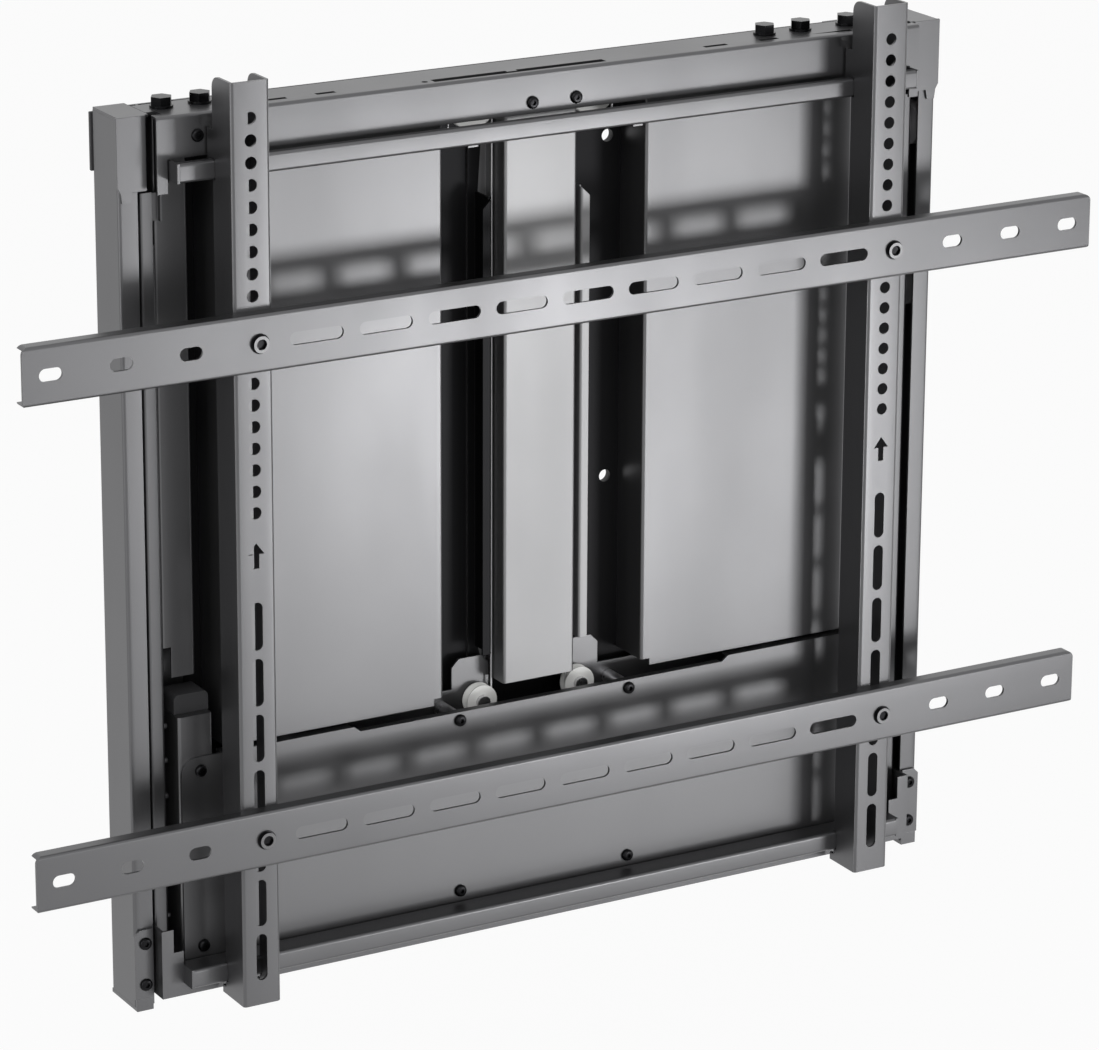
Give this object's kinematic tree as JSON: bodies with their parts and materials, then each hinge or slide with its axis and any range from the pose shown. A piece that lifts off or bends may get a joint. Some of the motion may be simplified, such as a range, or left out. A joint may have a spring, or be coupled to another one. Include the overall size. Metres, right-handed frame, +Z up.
{
  "type": "tv wall mount",
  "caption": "Spring-balanced height-adjustable wall mount: sheet-steel frame, sliding carriage with hook rails, hook-on arms and slotted display bars.",
  "frame": {"origin": "centre of the frame on the wall surface", "axes": "+X right seen from the room, +Y into the wall, +Z up"},
  "size_m": [0.84, 0.105, 0.6585],
  "materials": {
    "sheet_steel": "satin powder coat, dark grey",
    "zinc": "zinc plated",
    "black_oxide": "black oxide",
    "cable_steel": "bright wire rope",
    "spring_steel": "oiled spring steel",
    "white_nylon": "satin",
    "grey_nylon": "satin",
    "black_rubber": "matt"
  },
  "bodies": {
    "wall_frame": {"back_plate": "sheet_steel", "wall_pads": "black_rubber", "column_left": "sheet_steel", "column_right": "sheet_steel", "guide_channels": "sheet_steel", "top_beam": "sheet_steel", "top_caps": "sheet_steel", "corner_plates": "sheet_steel", "frame_screws": "black_oxide", "column_feet": "sheet_steel", "housing_left": "sheet_steel", "housing_right": "sheet_steel", "lower_cover": "sheet_steel", "cover_posts": "zinc", "cover_brackets": "sheet_steel", "buffers": "black_rubber", "mast": "sheet_steel", "beam_bolts": "black_oxide", "pulley_plates": "sheet_steel", "pulley_axles": "zinc", "cables": "cable_steel", "lift_strands": "cable_steel", "block_strands_left": "cable_steel", "block_strands_right": "cable_steel"},
    "carriage": {"slide_profile_left": "sheet_steel", "slide_profile_right": "sheet_steel", "hook_rail_top": "sheet_steel", "hook_rail_bottom": "sheet_steel", "rail_brackets": "sheet_steel", "lower_crossbar": "sheet_steel", "cable_anchors": "sheet_steel", "roller_axles": "zinc"},
    "display_frame": {"arm_left": "sheet_steel", "arm_right": "sheet_steel", "bar_upper": "sheet_steel", "bar_lower": "sheet_steel", "bar_bolts": "zinc", "bar_nuts": "zinc"},
    "adjuster_bolt_left": {"adjuster_left": "black_oxide"},
    "hanger_left": {"spring_hanger_left": "sheet_steel", "springs_left": "spring_steel"},
    "spring_block_left": {"crosshead_left": "sheet_steel", "cable_loop_left": "cable_steel"},
    "lower_sheave_left": {"lower_pulley_left": "white_nylon"},
    "upper_sheave_left": {"upper_pulley_left": "white_nylon"},
    "turning_sheave_left": {"turning_pulley_left": "white_nylon"},
    "block_sheave_left": {"block_pulley_left": "white_nylon"},
    "roller_left_upper": {"guide_roller_left_upper": "grey_nylon"},
    "roller_left_lower": {"guide_roller_left_lower": "grey_nylon"},
    "adjuster_bolt_right": {"adjuster_right": "black_oxide"},
    "hanger_right": {"spring_hanger_right": "sheet_steel", "springs_right": "spring_steel"},
    "spring_block_right": {"crosshead_right": "sheet_steel", "cable_loop_right": "cable_steel"},
    "lower_sheave_right": {"lower_pulley_right": "white_nylon"},
    "upper_sheave_right": {"upper_pulley_right": "white_nylon"},
    "turning_sheave_right": {"turning_pulley_right": "white_nylon"},
    "block_sheave_right": {"block_pulley_right": "white_nylon"},
    "roller_right_upper": {"guide_roller_right_upper": "grey_nylon"},
    "roller_right_lower": {"guide_roller_right_lower": "grey_nylon"}
  },
  "joints": [
    {"name": "carriage_slide", "type": "slide", "parent": "wall_frame", "child": "carriage", "axis": [0, 0, 1], "range_m": [-0.4, 0], "deforming": ["lift_strands"]},
    {"name": "display_shift", "type": "slide", "parent": "carriage", "child": "display_frame", "axis": [1, 0, 0], "range_m": [-0.02, 0.02]},
    {"name": "adjuster_left_turn", "type": "hinge", "parent": "wall_frame", "child": "adjuster_bolt_left", "pos_m": [-0.216, -0.027, 0.31], "axis": [0, 0, -1], "range_deg": [-2, 2162]},
    {"name": "hanger_left_slide", "type": "slide", "parent": "wall_frame", "child": "hanger_left", "axis": [0, 0, 1], "range_m": [0, 0.009]},
    {"name": "crosshead_left_slide", "type": "slide", "parent": "wall_frame", "child": "spring_block_left", "axis": [0, 0, 1], "range_m": [-0.201, 0.001], "deforming": ["springs_left", "block_strands_left"]},
    {"name": "lower_pulley_left_turn", "type": "hinge", "parent": "wall_frame", "child": "lower_sheave_left", "pos_m": [-0.04, -0.021, -0.1465], "axis": [0, 1, 0], "range_deg": [-2440, 2]},
    {"name": "turning_pulley_left_turn", "type": "hinge", "parent": "wall_frame", "child": "turning_sheave_left", "pos_m": [-0.1972, -0.021, -0.1465], "axis": [0, 1, 0], "range_deg": [-2440, 2]},
    {"name": "upper_pulley_left_turn", "type": "hinge", "parent": "wall_frame", "child": "upper_sheave_left", "pos_m": [-0.0478, -0.021, 0.29], "axis": [0, 1, 0], "range_deg": [-1335, 2]},
    {"name": "block_pulley_left_turn", "type": "hinge", "parent": "spring_block_left", "child": "block_sheave_left", "pos_m": [-0.216, -0.021, 0.09], "axis": [0, 1, 0], "range_deg": [-2, 1222]},
    {"name": "roller_left_upper_turn", "type": "hinge", "parent": "carriage", "child": "roller_left_upper", "pos_m": [-0.3152, -0.0225, 0.235], "axis": [1, 0, 0], "range_deg": [-1435, 2]},
    {"name": "roller_left_lower_turn", "type": "hinge", "parent": "carriage", "child": "roller_left_lower", "pos_m": [-0.3152, -0.0225, 0.115], "axis": [1, 0, 0], "range_deg": [-2, 1435]},
    {"name": "adjuster_right_turn", "type": "hinge", "parent": "wall_frame", "child": "adjuster_bolt_right", "pos_m": [0.216, -0.027, 0.31], "axis": [0, 0, -1], "range_deg": [-2, 2162]},
    {"name": "hanger_right_slide", "type": "slide", "parent": "wall_frame", "child": "hanger_right", "axis": [0, 0, 1], "range_m": [0, 0.009]},
    {"name": "crosshead_right_slide", "type": "slide", "parent": "wall_frame", "child": "spring_block_right", "axis": [0, 0, 1], "range_m": [-0.201, 0.001], "deforming": ["springs_right", "block_strands_right"]},
    {"name": "lower_pulley_right_turn", "type": "hinge", "parent": "wall_frame", "child": "lower_sheave_right", "pos_m": [0.04, -0.021, -0.1465], "axis": [0, 1, 0], "range_deg": [-2, 2440]},
    {"name": "turning_pulley_right_turn", "type": "hinge", "parent": "wall_frame", "child": "turning_sheave_right", "pos_m": [0.1972, -0.021, -0.1465], "axis": [0, 1, 0], "range_deg": [-2, 2440]},
    {"name": "upper_pulley_right_turn", "type": "hinge", "parent": "wall_frame", "child": "upper_sheave_right", "pos_m": [0.0478, -0.021, 0.29], "axis": [0, 1, 0], "range_deg": [-2, 1335]},
    {"name": "block_pulley_right_turn", "type": "hinge", "parent": "spring_block_right", "child": "block_sheave_right", "pos_m": [0.216, -0.021, 0.09], "axis": [0, 1, 0], "range_deg": [-1222, 2]},
    {"name": "roller_right_upper_turn", "type": "hinge", "parent": "carriage", "child": "roller_right_upper", "pos_m": [0.3152, -0.0225, 0.235], "axis": [1, 0, 0], "range_deg": [-1435, 2]},
    {"name": "roller_right_lower_turn", "type": "hinge", "parent": "carriage", "child": "roller_right_lower", "pos_m": [0.3152, -0.0225, 0.115], "axis": [1, 0, 0], "range_deg": [-2, 1435]}
  ],
  "couplings": [
    {"joint": "adjuster_left_turn", "follows": "hanger_left_slide", "rad_per_m": 4188.8},
    {"joint": "crosshead_left_slide", "follows": "carriage_slide", "ratio": 0.5},
    {"joint": "lower_pulley_left_turn", "follows": "carriage_slide", "rad_per_m": 106.38},
    {"joint": "turning_pulley_left_turn", "follows": "carriage_slide", "rad_per_m": 106.38},
    {"joint": "upper_pulley_left_turn", "follows": "carriage_slide", "rad_per_m": 58.139},
    {"joint": "block_pulley_left_turn", "follows": "carriage_slide", "rad_per_m": -53.191},
    {"joint": "roller_left_upper_turn", "follows": "carriage_slide", "rad_per_m": 62.5},
    {"joint": "roller_left_lower_turn", "follows": "carriage_slide", "rad_per_m": -62.5},
    {"joint": "adjuster_right_turn", "follows": "hanger_right_slide", "rad_per_m": 4188.8},
    {"joint": "crosshead_right_slide", "follows": "carriage_slide", "ratio": 0.5},
    {"joint": "lower_pulley_right_turn", "follows": "carriage_slide", "rad_per_m": -106.38},
    {"joint": "turning_pulley_right_turn", "follows": "carriage_slide", "rad_per_m": -106.38},
    {"joint": "upper_pulley_right_turn", "follows": "carriage_slide", "rad_per_m": -58.139},
    {"joint": "block_pulley_right_turn", "follows": "carriage_slide", "rad_per_m": 53.191},
    {"joint": "roller_right_upper_turn", "follows": "carriage_slide", "rad_per_m": 62.5},
    {"joint": "roller_right_lower_turn", "follows": "carriage_slide", "rad_per_m": -62.5}
  ]
}
